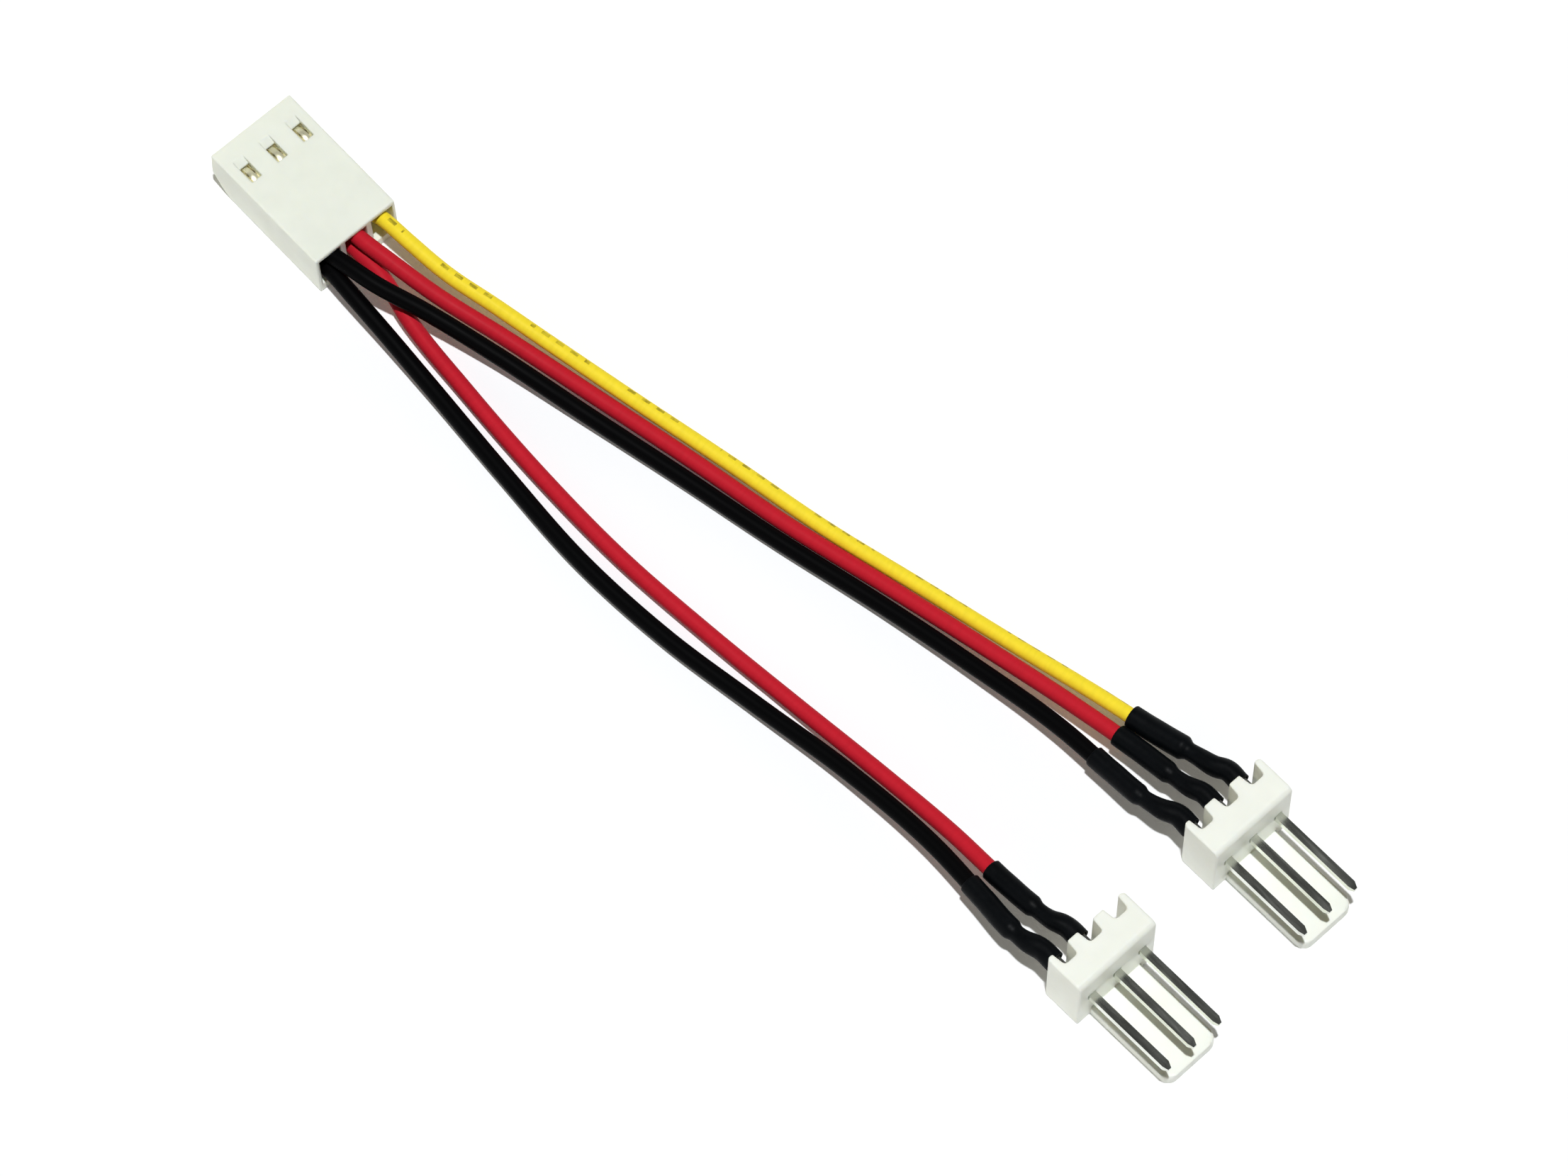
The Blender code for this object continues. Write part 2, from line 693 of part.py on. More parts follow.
def notch(middle):
    """The round-bottomed gap between two teeth, where a pin's tail comes out."""
    rear = -PLUG_LENGTH
    half = NOTCH_BASE / 2
    corner = rear + NOTCH_DEPTH - NOTCH_ROUND
    near = arc((corner, middle - half + NOTCH_ROUND), NOTCH_ROUND, -90, 0, 4)
    far = arc((corner, middle + half - NOTCH_ROUND), NOTCH_ROUND, 0, 90, 4)
    return [(rear, middle - NOTCH_MOUTH / 2)] + near + far + [(rear, middle + NOTCH_MOUTH / 2)]


def block_outline():
    """The block seen from above: a flat front and four rounded teeth behind."""
    half = PLUG_WIDTH / 2
    rear = -PLUG_LENGTH
    outline = [(0.0, half), (0.0, -half), (rear + TOOTH_ROUND, -half), (rear, -half + TOOTH_ROUND)]
    for circuit in CIRCUITS:
        outline += notch(circuit_side(circuit))
    outline += [(rear, half - TOOTH_ROUND), (rear + TOOTH_ROUND, half)]
    return outline


def wall_outline():
    half = WALL_WIDTH / 2
    end = WALL_LENGTH - WALL_CORNER
    right = arc((end, -half + WALL_CORNER), WALL_CORNER, -90, 0, 5)
    left = arc((end, half - WALL_CORNER), WALL_CORNER, 0, 90, 5)
    root = -PLUG_LENGTH + NOTCH_DEPTH + WALL_EDGE
    return [(root, -half)] + right + left + [(root, half)]


def make_plug_body(plug, material):
    data = bmesh.new()
    add_prism(data, block_outline(), 0.0, PLUG_HEIGHT, "XY")
    brow = [
        edge for edge in data.edges
        if all(abs(v.co.x) < FIT and abs(v.co.z - PLUG_HEIGHT) < FIT for v in edge.verts)]
    bmesh.ops.bevel(data, geom=brow, offset=BROW_RADIUS, segments=4, profile=0.5, affect="EDGES")
    body = make_object(f"plug_{plug}_body", data, material, placed(*PLUGS[plug]))
    bevel(body, PLUG_EDGE)

    wall = bmesh.new()
    add_prism(wall, wall_outline(), 0.0, WALL_THICKNESS, "XY")
    rim = [edge for edge in wall.edges if all(v.co.z > WALL_THICKNESS - FIT for v in edge.verts)]
    bmesh.ops.bevel(wall, geom=rim, offset=WALL_EDGE, segments=2, profile=0.5, affect="EDGES")
    combine(body, wall, "UNION", "wall")

    holes = bmesh.new()
    half = PIN_SIZE / 2 + FIT
    for circuit in CIRCUITS:
        side = circuit_side(circuit)
        add_loft(holes, [
            square_ring(-PLUG_LENGTH, side, PIN_HEIGHT, half), square_ring(1.0, side, PIN_HEIGHT, half)])
    combine(body, holes, "DIFFERENCE", "pin_holes")


def make_pin(plug, circuit, material, wired):
    """A square pin with a chamfered tip and a cut tail."""
    rear = tail_back() if wired else PLUG_LENGTH - NOTCH_DEPTH + PIN_TAIL_CUT
    side = circuit_side(circuit)
    half = PIN_SIZE / 2
    profile = (
        (-rear, half - PIN_TAIL_CUT / 2), (-rear + PIN_TAIL_CUT, half),
        (PIN_LENGTH - PIN_TIP_LENGTH, half), (PIN_LENGTH, PIN_TIP_SIZE / 2))
    data = bmesh.new()
    add_loft(data, [square_ring(x, side, PIN_HEIGHT, size) for x, size in profile])
    make_object(f"plug_{plug}_pin_{circuit}", data, material, placed(*PLUGS[plug]))


def build():
    clear_scene()
    for_socket = make_material("ivory_nylon", (0.86, 0.88, 0.76), 0.45)
    make_housing(for_socket)
    for circuit in CIRCUITS:
        make_terminal(circuit, make_material(f"tinned_brass_{circuit}", (0.72, 0.68, 0.42), 0.3, 1.0))
        make_core(circuit, make_material(f"tinned_strands_{circuit}", (0.75, 0.72, 0.66), 0.4, 1.0))

    colours = {"yellow": (0.9, 0.68, 0.03), "red": (0.55, 0.014, 0.03), "black": (0.004, 0.005, 0.006)}
    for wire in WIRES:
        colour, _, letter = wire.partition("_")
        end = f"_{letter}" if letter else ""
        make_wire_set(wire, colour, end, colours[colour])

    wired = {(plug, pin) for _, _, plug, pin in WIRES.values()}
    for plug in PLUGS:
        make_plug_body(plug, make_material(f"white_nylon_{plug}", (0.88, 0.9, 0.84), 0.42))
        for circuit in CIRCUITS:
            steel = make_material(f"plated_pin_{plug}{circuit}", (0.6, 0.6, 0.56), 0.2, 1.0)
            make_pin(plug, circuit, steel, (plug, circuit) in wired)


def make_wire_set(wire, colour, end, insulation):
    """A wire, its sleeve and its solder joint."""
    make_wire(wire, f"{colour}_wire{end}", make_material(f"{colour}_insulation{end}", insulation, 0.35))
    make_sleeve(wire, f"{colour}_sleeve{end}", make_material(f"black_sleeve_{wire}", (0.006, 0.008, 0.009), 0.5))
    make_joint(wire, f"{colour}_joint{end}", make_material(f"solder_{wire}", (0.7, 0.7, 0.7), 0.35, 1.0))


build()
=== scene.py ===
"""Looks of the fan splitter cable: fine shapes, materials, light, floor and camera."""
import math

import bmesh
import bpy
from mathutils import Matrix, Vector


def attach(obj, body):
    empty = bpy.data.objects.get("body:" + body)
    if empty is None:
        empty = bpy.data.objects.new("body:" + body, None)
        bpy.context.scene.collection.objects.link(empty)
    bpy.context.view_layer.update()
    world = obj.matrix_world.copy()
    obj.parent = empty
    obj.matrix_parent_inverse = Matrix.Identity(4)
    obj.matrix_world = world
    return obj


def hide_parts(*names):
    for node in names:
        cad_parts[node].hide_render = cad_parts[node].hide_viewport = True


MM = 0.001
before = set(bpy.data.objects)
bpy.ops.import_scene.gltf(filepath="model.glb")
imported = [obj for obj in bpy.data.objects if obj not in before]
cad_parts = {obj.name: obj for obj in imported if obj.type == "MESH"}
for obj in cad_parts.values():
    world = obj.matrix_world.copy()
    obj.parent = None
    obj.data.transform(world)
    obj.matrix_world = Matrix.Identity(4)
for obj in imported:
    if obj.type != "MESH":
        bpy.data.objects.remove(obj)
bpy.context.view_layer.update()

# Camera, fitted to the photograph
CAMERA_PLACE = (0.23724, -0.22368, 0.70545)
CAMERA_TARGET = (0.00272, -0.0027, 0.0)
CAMERA_LENS = 242.7
CAMERA_SENSOR = 36.0
CAMERA_ROLL = 1.43
CAMERA_AZIMUTH = 46.7
CAMERA_NEAR = 0.05
CAMERA_FAR = 20.0

# Lamps, each from a direction by the photograph's right, toward the camera, and up
KEY_FROM = (0.02, 0.122, 0.993)
KEY_LEVEL = 0.915
KEY_SOFTNESS = 2.5
KEY_COLOUR = (0.96, 0.98, 1.0)
FILL_FROM = (-0.9, 0.3, 0.3)
FILL_LEVEL = 0.07
FILL_SOFTNESS = 60.0
FILL_COLOUR = (0.8, 0.88, 1.0)

# Walls and ceiling. Heights and sides are parts of a unit direction.
WALL_LEVEL = 0.7
WALL_COLOUR = (1.0, 0.9, 0.62)
DIM_SIDE = 0.2
DIM_START = -0.3
DIM_END = 0.6
WALL_TOP = 0.2
ZENITH_START = 0.65
ZENITH_DARK = 0.045

FLOOR_HALF = 3.0
FLOOR_COLOUR = (0.95, 0.95, 0.96)
FLOOR_GLOW = 0.075

# Connectors and wires, as in the part's source, in millimetres
PITCH = 2.54
FIT = 0.05
SOCKET_PLACE = (-50.46, -8.32)
WIRE_DIAMETERS = {"yellow": 1.2, "red": 1.25, "black": 1.25}
WIRE_START = 8.8
WIRE_GRIP_END = 10.25
WIRE_RUNOUT = 0.3
PAIR_SIDE = 0.15
PAIR_RISE = 0.62
WIRE_LEVEL = 2.35
PIN_HEIGHT = 3.43
PLUG_LENGTH = 3.45
PIN_TAIL = 1.7
SLEEVE_GAP = 0.25
SLEEVE_SIDE = -0.13
SLEEVE_DROP = 0.03
SLEEVE_SLACK = {"yellow": 0.12, "red": 0.0, "black": 0.0}
SLEEVE_WALL = 0.13
SLEEVE_NECK = 0.52
SLEEVE_BULGE = 0.68
SLEEVE_TAIL = 0.7
SHOULDER_RUN = 0.6
BULGE_BACK = 1.65
SOLID_SLEEVE_SIDES = 12

# Where each plug stands: x, y and turn in degrees
PLUGS = {"a": (41.21, 8.22, 1.7), "b": (42.36, -6.23, 1.8)}

# Each wire: socket cavity, side of the pair, plug and pin
WIRES = {
    "yellow": (3, 0, "a", 3),
    "red_a": (2, 1, "a", 2),
    "red_b": (2, -1, "b", 2),
    "black_a": (1, 1, "a", 1),
    "black_b": (1, -1, "b", 1),
}

# Each wire's sleeve: its length, and the bare length between the insulation and the sleeve's end
SLEEVES = {
    "yellow": (9.8, 5.2),
    "red_a": (9.35, 4.5),
    "red_b": (8.75, 4.45),
    "black_a": (9.35, 4.8),
    "black_b": (9.05, 4.2),
}

# The free part of each wire. It differs from the source by up to 0.25 mm, to keep the finer tubes apart.
ROUTES = {
    "yellow": (
        (-38.4, -5.7, 3.0), (-36.0, -5.5, 2.9), (-32.0, -4.97, 2.45), (-28.0, -3.95, 2.0),
        (-23.9, -2.95, 1.5), (-15.6, -1.05, 0.95), (-7.1, 0.85, 0.72), (1.4, 2.55, 0.7),
        (9.7, 4.55, 0.95), (18.2, 6.45, 1.5), (25.2, 8.0, 2.15), (30.0, 8.95, 2.6),
        (33.5, 9.7, 3.1), (35.2, 10.08, 3.32)),
    "red_a": (
        (-38.4, -8.1, 3.15), (-35.6, -7.6, 2.9), (-31.7, -6.75, 2.3), (-25.7, -4.95, 1.4),
        (-17.4, -2.88, 0.8), (-8.9, -1.0, 0.7), (-0.5, 0.7, 0.7), (7.9, 2.72, 0.95),
        (16.4, 4.55, 1.5), (24.9, 6.2, 2.15), (30.5, 7.08, 2.6),
        (33.6, 7.38, 3.05), (35.1, 7.58, 3.28)),
    "red_b": (
        (-38.2, -8.5, 1.9), (-35.6, -8.5, 1.75), (-31.5, -9.2, 1.05), (-24.7, -9.75, 0.72),
        (-15.7, -10.25, 0.7), (-6.8, -10.25, 0.7), (1.9, -9.55, 0.72), (10.4, -8.65, 0.9),
        (19.1, -7.8, 1.5), (26.0, -7.3, 2.05), (31.5, -7.25, 2.65),
        (34.6, -7.12, 3.08), (36.2, -6.92, 3.3)),
    "black_a": (
        (-38.5, -10.5, 3.15), (-36.9, -10.2, 3.2), (-34.9, -9.75, 3.1), (-31.2, -8.35, 2.5),
        (-25.2, -6.45, 1.6), (-17.0, -4.42, 0.9), (-8.6, -2.47, 0.7), (-0.1, -0.65, 0.7),
        (8.3, 1.33, 0.9), (16.7, 2.95, 1.4), (25.3, 4.2, 2.15), (30.5, 4.45, 2.6),
        (33.5, 4.6, 3.03), (35.1, 4.93, 3.28)),
    "black_b": (
        (-38.1, -11.1, 1.98), (-35.6, -11.2, 1.85), (-32.0, -11.3, 1.45), (-26.5, -11.55, 0.95),
        (-17.5, -12.15, 0.7), (-8.5, -12.6, 0.7), (0.2, -12.05, 0.72), (8.7, -10.75, 0.9),
        (17.3, -9.5, 1.5), (26.0, -8.95, 2.15), (31.5, -9.25, 2.6),
        (34.6, -9.5, 3.03), (36.2, -9.4, 3.28)),
}

# Fine tubes of the wires. The free part of a wire grows to its share of the source's radius.
TUBE_SIDES = 20
TUBE_STEP = 0.7
WIRE_SWELL = {"yellow": 1.0, "red": 1.02, "black": 1.06}
SWELL_RUN = 6.0

# Fine skins of the sleeves, slightly out of round
SKIN_SIDES = 28
SKIN_STEP = 0.16
SKIN_LIP = 0.05
SKIN_INSIDE = 1.2
SKIN_FOLD = 0.12
CRUSH_MOUTH = 0.012
CRUSH_GROWTH = 0.02
CRUSH_RUN = 1.5
CRUSH_PHASE = 1.3

# Crown of each locking lance, from the mating face and the table, in millimetres
LANCE_START = 2.22
LANCE_LENGTH = 1.5
LANCE_WIDTH = 0.92
LANCE_BASE = 3.7
LANCE_RISE = 0.38
LANCE_BOW = 135
LANCE_CROWN = 0.16
LANCE_FOOT = 3.45
LANCE_STEPS = 18
LANCE_ACROSS = 12

# Each vinyl's colour and gloss
VINYLS = {
    "yellow": ((0.95, 0.745, 0.032), 0.12),
    "red": ((0.545, 0.013, 0.027), 0.07),
    "black": ((0.0012, 0.0012, 0.0014), 0.03),
}

# Small dark strokes on the yellow wire, in millimetres along it and shares of the way round it
INK = (0.03, 0.018, 0.006)
INK_STRENGTH = 0.62
PRINT_PERIOD = 8.6
PRINT_SHARE = 0.62
STROKE_PITCH = 1.3
STROKE_SHARE = 0.52
PRINT_MIDDLE = 0.27
PRINT_DRIFT = 0.0022
PRINT_HALF_BAND = 0.042

IVORY = (0.855, 0.88, 0.775)
WHITE = (0.92, 0.94, 0.855)
IVORY_DEPTH = 0.3
WHITE_DEPTH = 0.2
SOFT_EDGE = 0.18
SHRINK_COLOUR = (0.0018, 0.0024, 0.0031)

# Each metal: colour, roughness, how its marks are stretched, and how metallic it is
METALS = {
    "solder": ((0.72, 0.72, 0.74), 0.35, (1.0, 1.0, 1.0), 1.0),
    "terminal": ((0.66, 0.58, 0.3), 0.3, (0.15, 1.0, 1.0), 1.0),
    # The lance is the same brass as the terminal, made lighter and less metallic here: the extra
    # lightness is a painted highlight on its crown
    "lance": ((0.82, 0.79, 0.56), 0.34, (0.2, 1.0, 1.0), 0.6),
    "strand": ((0.75, 0.7, 0.62), 0.4, (0.1, 1.0, 1.0), 1.0),
    "pin": ((0.72, 0.74, 0.67), 0.17, (0.1, 1.0, 1.0), 1.0),
}


# Nodes and meshes

def math_node(tree, operation, first, second=None):
    """A Math node on numbers or sockets."""
    node = tree.nodes.new("ShaderNodeMath")
    node.operation = operation
    for value, socket in zip((first, second), node.inputs):
        if isinstance(value, float):
            socket.default_value = value
        elif value is not None:
            tree.links.new(value, socket)
    return node.outputs[0]


def range_node(tree, source, before, after, interpolation="LINEAR"):
    """Map a socket's value from one pair of limits to another."""
    node = tree.nodes.new("ShaderNodeMapRange")
    node.interpolation_type = interpolation
    for name, value in zip(("From Min", "From Max", "To Min", "To Max"), before + after):
        node.inputs[name].default_value = value
    tree.links.new(source, node.inputs["Value"])
    return node.outputs["Result"]


def mesh_object(name, data, material):
    mesh = bpy.data.meshes.new(name)
    data.to_mesh(mesh)
    data.free()
    mesh.materials.append(material)
    obj = bpy.data.objects.new(name, mesh)
    bpy.context.scene.collection.objects.link(obj)
    return obj


def smooth_object(name, data, material, sharp):
    """A shaded object whose edges stay sharp past an angle in degrees."""
    bmesh.ops.recalc_face_normals(data, faces=data.faces)
    obj = mesh_object(name, data, material)
    obj.data.shade_smooth()
    obj.data.set_sharp_from_angle(angle=math.radians(sharp))
    return obj


# Camera, light and floor

def make_camera():
    camera = bpy.data.objects.new("camera", bpy.data.cameras.new("camera"))
    camera.data.sensor_width = CAMERA_SENSOR
    camera.data.lens = CAMERA_LENS
    camera.data.clip_start = CAMERA_NEAR
    camera.data.clip_end = CAMERA_FAR
    place = Vector(CAMERA_PLACE)
    facing = (Vector(CAMERA_TARGET) - place).to_track_quat("-Z", "Y").to_matrix().to_4x4()
    roll = Matrix.Rotation(math.radians(CAMERA_ROLL), 4, "Z")
    camera.matrix_world = Matrix.Translation(place) @ facing @ roll
    bpy.context.scene.collection.objects.link(camera)
    bpy.context.scene.camera = camera


def seen_from(right, toward, up):
    """A direction given by the photograph's right, toward the camera, and up."""
    turn = math.radians(CAMERA_AZIMUTH)
    across = Vector((math.cos(turn), math.sin(turn), 0.0))
    near = Vector((math.sin(turn), -math.cos(turn), 0.0))
    return across * right + near * toward + Vector((0.0, 0.0, up))


def make_sun(name, direction, level, softness, colour):
    lamp = bpy.data.lights.new(name, "SUN")
    lamp.energy = level * math.pi
    lamp.angle = math.radians(softness)
    lamp.color = colour
    obj = bpy.data.objects.new(name, lamp)
    obj.matrix_world = direction.to_track_quat("Z", "Y").to_matrix().to_4x4()
    bpy.context.scene.collection.objects.link(obj)


def shown_ray(tree):
    """1 for the camera, for mirror rays and for rays through glass, else 0."""
    path = tree.nodes.new("ShaderNodeLightPath")
    seen = math_node(tree, "MAXIMUM", path.outputs["Is Camera Ray"], path.outputs["Is Glossy Ray"])
    return math_node(tree, "MAXIMUM", seen, path.outputs["Is Transmission Ray"])


def make_world():
    """Pale walls all round under a dark ceiling. They light warm, dimmer from +X, and show white."""
    world = bpy.data.worlds.new("studio")
    world.use_nodes = True
    bpy.context.scene.world = world
    tree = world.node_tree
    coords = tree.nodes.new("ShaderNodeTexCoord")
    axes = tree.nodes.new("ShaderNodeSeparateXYZ")
    tree.links.new(coords.outputs["Generated"], axes.inputs[0])
    fade = range_node(
        tree, axes.outputs["Z"], (WALL_TOP, ZENITH_START), (1.0, ZENITH_DARK), "SMOOTHSTEP")
    sides = range_node(
        tree, axes.outputs["X"], (DIM_START, DIM_END), (WALL_LEVEL, WALL_LEVEL * DIM_SIDE), "SMOOTHSTEP")
    lit = tree.nodes["Background"]
    lit.inputs["Color"].default_value = (*WALL_COLOUR, 1.0)
    tree.links.new(math_node(tree, "MULTIPLY", fade, sides), lit.inputs["Strength"])
    shown = tree.nodes.new("ShaderNodeBackground")
    shown.inputs["Color"].default_value = (1.0, 1.0, 1.0, 1.0)
    tree.links.new(fade, shown.inputs["Strength"])
    mix = tree.nodes.new("ShaderNodeMixShader")
    tree.links.new(shown_ray(tree), mix.inputs["Fac"])
    tree.links.new(lit.outputs[0], mix.inputs[1])
    tree.links.new(shown.outputs[0], mix.inputs[2])
    tree.links.new(mix.outputs[0], tree.nodes["World Output"].inputs["Surface"])


def make_floor():
    """White paper with a faint glow that is seen but lights nothing."""
    paper = bpy.data.materials.new("floor_paper")
    paper.use_nodes = True
    tree = paper.node_tree
    shader = tree.nodes["Principled BSDF"]
    shader.inputs["Base Color"].default_value = (*FLOOR_COLOUR, 1.0)
    shader.inputs["Roughness"].default_value = 0.9
    shader.inputs["Specular IOR Level"].default_value = 0.1
    shader.inputs["Emission Color"].default_value = (1.0, 1.0, 1.0, 1.0)
    glow = math_node(tree, "MULTIPLY", shown_ray(tree), FLOOR_GLOW)
    tree.links.new(glow, shader.inputs["Emission Strength"])
    data = bmesh.new()
    bmesh.ops.create_grid(data, x_segments=1, y_segments=1, size=FLOOR_HALF)
    mesh_object("floor", data, paper)


# Materials

class Paint:
    """A Principled material and short ways to wire its nodes."""

    def __init__(self, name, colour, roughness, metallic=0.0, coords="Object"):
        self.material = bpy.data.materials.new(name)
        self.material.use_nodes = True
        self.tree = self.material.node_tree
        self.shader = self.tree.nodes["Principled BSDF"]
        self.colour = colour
        self.put("Base Color", (*colour, 1.0))
        self.put("Roughness", roughness)
        self.put("Metallic", metallic)
        self.coords = self.tree.nodes.new("ShaderNodeTexCoord").outputs[coords]

    def put(self, name, value):
        """Set one of the shader's sockets, or link an output to it."""
        if isinstance(value, bpy.types.NodeSocket):
            self.link(value, self.shader.inputs[name])
        else:
            self.shader.inputs[name].default_value = value

    def link(self, source, target):
        self.tree.links.new(source, target)

    def noise(self, scale, detail, roughness=0.5, stretch=(1.0, 1.0, 1.0)):
        mapping = self.tree.nodes.new("ShaderNodeMapping")
        mapping.inputs["Scale"].default_value = stretch
        self.link(self.coords, mapping.inputs["Vector"])
        node = self.tree.nodes.new("ShaderNodeTexNoise")
        node.inputs["Scale"].default_value = scale
        node.inputs["Detail"].default_value = detail
        node.inputs["Roughness"].default_value = roughness
        self.link(mapping.outputs[0], node.inputs["Vector"])
        return node.outputs["Fac"]

    def math(self, operation, first, second=None):
        return math_node(self.tree, operation, first, second)

    def span(self, source, low, high, start=0.3, end=0.7):
        return range_node(self.tree, source, (start, end), (low, high))

    def blend_colour(self, factor, first, second):
        """Mix two colours, each given as a tuple or a socket."""
        node = self.tree.nodes.new("ShaderNodeMix")
        node.data_type = "RGBA"
        self.link(factor, node.inputs["Factor"])
        for value, socket in ((first, node.inputs["A"]), (second, node.inputs["B"])):
            if isinstance(value, tuple):
                socket.default_value = (*value, 1.0)
            else:
                self.link(value, socket)
        return node.outputs["Result"]

    def bump(self, height, distance, strength):
        """Fine relief of a depth in millimetres."""
        node = self.tree.nodes.new("ShaderNodeBump")
        node.inputs["Strength"].default_value = strength
        node.inputs["Distance"].default_value = distance * MM
        self.link(height, node.inputs["Height"])
        self.put("Normal", node.outputs["Normal"])
        return node

    def vary(self, scale, amount):
        """Small lighter and darker patches in the base colour."""
        dark = tuple(c * (1 - amount) for c in self.colour)
        light = tuple(min(1.0, c * (1 + amount)) for c in self.colour)
        factor = self.span(self.noise(scale, 3.0), 0.0, 1.0)
        mixed = self.blend_colour(factor, dark, light)
        self.put("Base Color", mixed)
        return mixed


def nylon(name, colour, depth):
    """Moulded nylon: slightly cloudy, with soft edges and a fine matte skin that lets some light in."""
    paint = Paint(name, colour, 0.4)
    paint.vary(350.0, 0.025)
    paint.put("Roughness", paint.span(paint.noise(900.0, 4.0), 0.34, 0.5))
    paint.put("Subsurface Weight", depth)
    paint.put("Subsurface Radius", (1.0, 0.85, 0.6))
    paint.put("Subsurface Scale", 0.7 * MM)
    skin = paint.bump(paint.noise(9000.0, 3.0, 0.6), 0.012, 0.35)
    edges = paint.tree.nodes.new("ShaderNodeBevel")
    edges.samples = 6
    edges.inputs["Radius"].default_value = SOFT_EDGE * MM
    paint.link(edges.outputs["Normal"], skin.inputs["Normal"])
    return paint.material


def insulation(name, colour, gloss, printed):
    """Smooth vinyl with faint drawing lines along the wire. printed adds rows of small dark dashes."""
    paint = Paint(name, colour, 0.5, coords="UV")
    cover = paint.vary(3.0, 0.04)
    lines = paint.noise(4.0, 3.0, 0.6, (0.06, 6.0, 1.0))
    paint.put("Roughness", paint.span(lines, 0.45, 0.57))
    paint.put("Specular IOR Level", gloss)
    paint.bump(lines, 0.008, 0.4)
    if printed:
        paint.put("Base Color", paint.blend_colour(dashes(paint), cover, INK))
    return paint.material


def dashes(paint):
    """Groups of short worn strokes in a narrow band along the wire."""
    apart = paint.tree.nodes.new("ShaderNodeSeparateXYZ")
    paint.link(paint.coords, apart.inputs[0])
    along, round_ = apart.outputs["X"], apart.outputs["Y"]

    def repeated(period, share):
        turn = paint.math("FRACT", paint.math("DIVIDE", along, period))
        return paint.math("LESS_THAN", turn, share)

    strokes = paint.math(
        "MULTIPLY", repeated(PRINT_PERIOD, PRINT_SHARE), repeated(STROKE_PITCH, STROKE_SHARE))
    middle = paint.math("ADD", paint.math("MULTIPLY", along, PRINT_DRIFT), PRINT_MIDDLE)
    band = paint.math("COMPARE", round_, middle)
    band.node.inputs[2].default_value = PRINT_HALF_BAND
    worn = paint.span(paint.noise(1.6, 2.0, 0.6, (1.0, 5.0, 1.0)), 0.45, 1.0, 0.4, 0.6)
    ink = paint.math("MULTIPLY", strokes, paint.math("MULTIPLY", band, worn))
    return paint.math("MULTIPLY", ink, INK_STRENGTH)


def shrink_sleeve(name):
    """Black heat-shrink: matte, with a fine orange-peel skin."""
    paint = Paint(name, SHRINK_COLOUR, 0.5)
    paint.put("Specular IOR Level", 0.06)
    paint.vary(700.0, 0.25)
    skin = paint.noise(2600.0, 4.0, 0.6)
    paint.put("Roughness", paint.span(skin, 0.4, 0.55))
    paint.bump(skin, 0.02, 0.5)
    return paint.material


def metal(kind, label):
    """Metal with fine drawing marks and cloudy patches."""
    colour, roughness, stretch, metallic = METALS[kind]
    paint = Paint(f"{kind}_{label}_metal", colour, roughness, metallic)
    paint.vary(500.0, 0.12)
    marks = paint.noise(2500.0, 4.0, 0.65, stretch)
    paint.put("Roughness", paint.span(marks, roughness * 0.7, roughness * 1.4))
    paint.bump(marks, 0.006, 0.4)
    return paint.material


def dress(node, material):
    """Give a CAD node its material."""
    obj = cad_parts[node]
    obj.data.materials.clear()
    obj.data.materials.append(material)


# Wire lines, as in the part's source

def side_of(circuit):
    return (circuit - 2) * PITCH


def plug_point(plug, back, circuit):
    """A point on a pin's axis, at a distance behind the face that the pins stand out of."""
    x, y, turn = PLUGS[plug]
    spot = Matrix.Rotation(math.radians(turn), 3, "Z") @ Vector((-back, side_of(circuit), PIN_HEIGHT))
    return Vector((x, y, 0.0)) + spot


def route_points(name):
    """All the points of a wire's line, from its crimp to the end of its sleeve."""
    cavity, half, plug, pin = WIRES[name]
    side = SOCKET_PLACE[1] + side_of(cavity) + half * PAIR_SIDE
    level = WIRE_LEVEL + half * PAIR_RISE
    straight = (WIRE_START, WIRE_GRIP_END, WIRE_GRIP_END + WIRE_RUNOUT)
    start = [Vector((SOCKET_PLACE[0] + x, side, level)) for x in straight]
    free = [Vector(point) for point in ROUTES[name]]
    turn = Matrix.Rotation(math.radians(PLUGS[plug][2]), 3, "Z")
    lap = turn @ Vector((0.0, SLEEVE_SIDE, -SLEEVE_DROP))
    backs = (PLUG_LENGTH + PIN_TAIL, PLUG_LENGTH + SLEEVE_GAP)
    return start + free + [plug_point(plug, back, pin) + lap for back in backs]


def colour_of(wire):
    return wire.partition("_")[0]


def wire_radius(wire):
    return WIRE_DIAMETERS[colour_of(wire)] / 2


def tangent(before, here, after):
    """Direction at a point, weighted to its nearer neighbour."""
    first = here - before
    second = after - here
    blend = first / first.length**2 + second / second.length**2
    return blend / (1 / first.length + 1 / second.length)


def smooth_line(points, steps=24):
    """A smooth curve through the points, finely sampled."""
    padded = [2 * points[0] - points[1]] + points + [2 * points[-1] - points[-2]]
    line = []
    for p0, p1, p2, p3 in zip(padded, padded[1:], padded[2:], padded[3:]):
        span = (p2 - p1).length
        leave = tangent(p0, p1, p2) * span
        arrive = tangent(p1, p2, p3) * span
        for i in range(steps):
            t = i / steps
            line.append(
                p1 * (2 * t**3 - 3 * t**2 + 1) + leave * (t**3 - 2 * t**2 + t)
                + p2 * (3 * t**2 - 2 * t**3) + arrive * (t**3 - t**2))
    line.append(points[-1])
    return line


def line_length(line):
    return sum((b - a).length for a, b in zip(line, line[1:]))


def point_along(line, distance):
    """The point and direction at a distance along a sampled line."""
    walked = 0.0
    for a, b in zip(line, line[1:]):
        step = (b - a).length
        if walked + step >= distance:
            return a.lerp(b, (distance - walked) / step), (b - a).normalized()
        walked += step
    return line[-1].copy(), (line[-1] - line[-2]).normalized()


def even_steps(length, count):
    return [length * i / count for i in range(count + 1)]


# Wires, sleeves and lances

